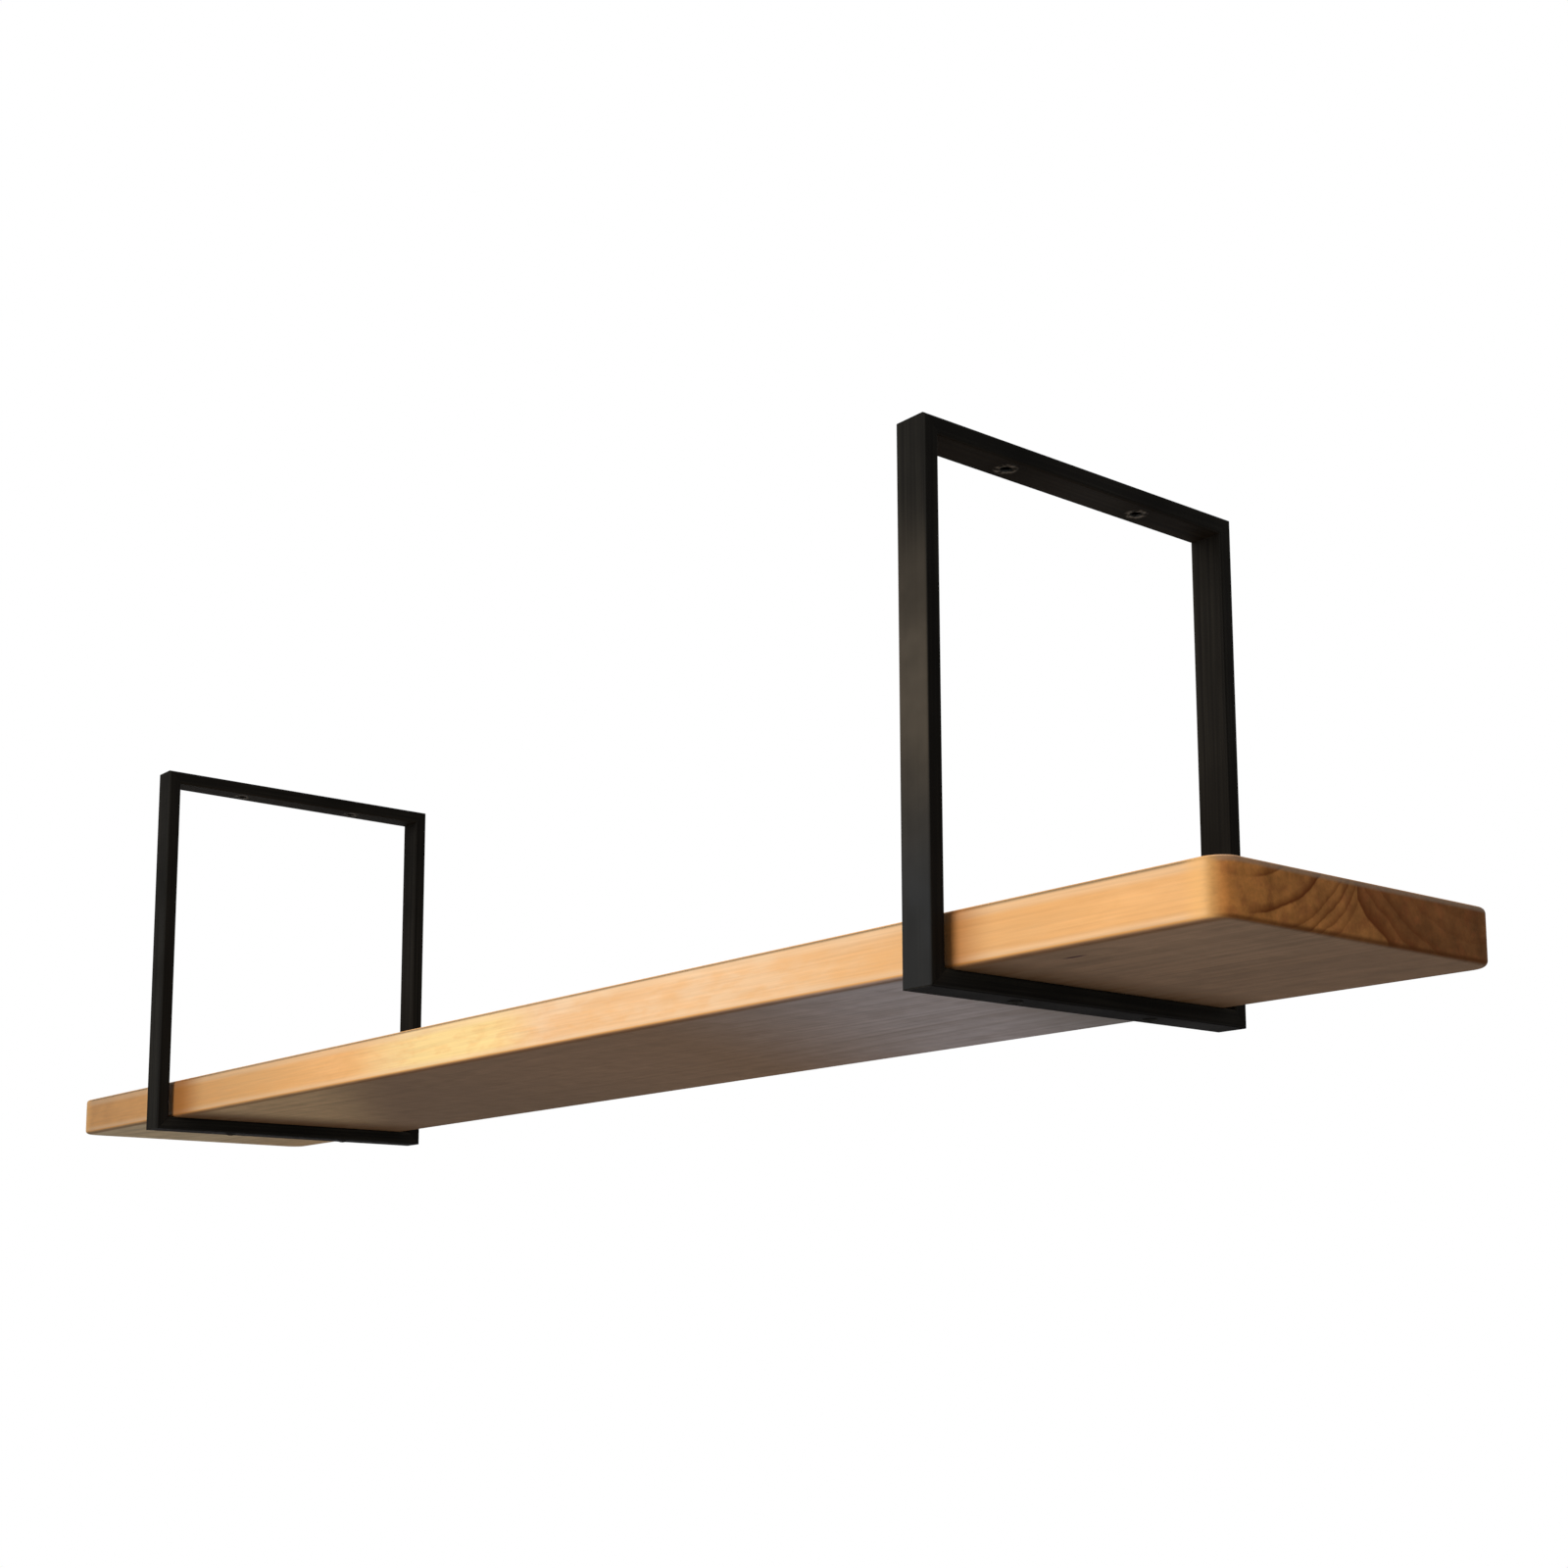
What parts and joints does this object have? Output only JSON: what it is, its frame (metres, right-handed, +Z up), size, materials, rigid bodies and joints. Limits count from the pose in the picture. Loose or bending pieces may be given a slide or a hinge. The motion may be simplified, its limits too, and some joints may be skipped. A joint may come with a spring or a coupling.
{
  "type": "ceiling-hung shelf",
  "caption": "Long pine shelf board carried in closed rectangular steel frames that screw up to a ceiling; board edges eased, corners rounded.",
  "frame": {"origin": "on the ceiling plane, in the middle of the four ceiling holes of the two top bars", "axes": "+X along the board to the right end, +Y from front to back, +Z up to the ceiling"},
  "size_m": [1.29, 0.244, 0.3014],
  "materials": {
    "pine": "oiled, fine sanded",
    "black_paint": "satin black",
    "black_screw": "black coated steel"
  },
  "bodies": {
    "root": {"board_front_stave": "pine", "board_rear_stave": "pine", "left_top_bar": "black_paint", "left_bottom_bar": "black_paint", "left_front_upright": "black_paint", "left_rear_upright": "black_paint", "left_weld_front_top": "black_paint", "left_weld_rear_top": "black_paint", "left_weld_rear_bottom": "black_paint", "left_weld_front_bottom": "black_paint", "left_screw_front": "black_screw", "left_screw_rear": "black_screw", "right_top_bar": "black_paint", "right_bottom_bar": "black_paint", "right_front_upright": "black_paint", "right_rear_upright": "black_paint", "right_weld_front_top": "black_paint", "right_weld_rear_top": "black_paint", "right_weld_rear_bottom": "black_paint", "right_weld_front_bottom": "black_paint", "right_screw_front": "black_screw", "right_screw_rear": "black_screw"}
  },
  "joints": []
}
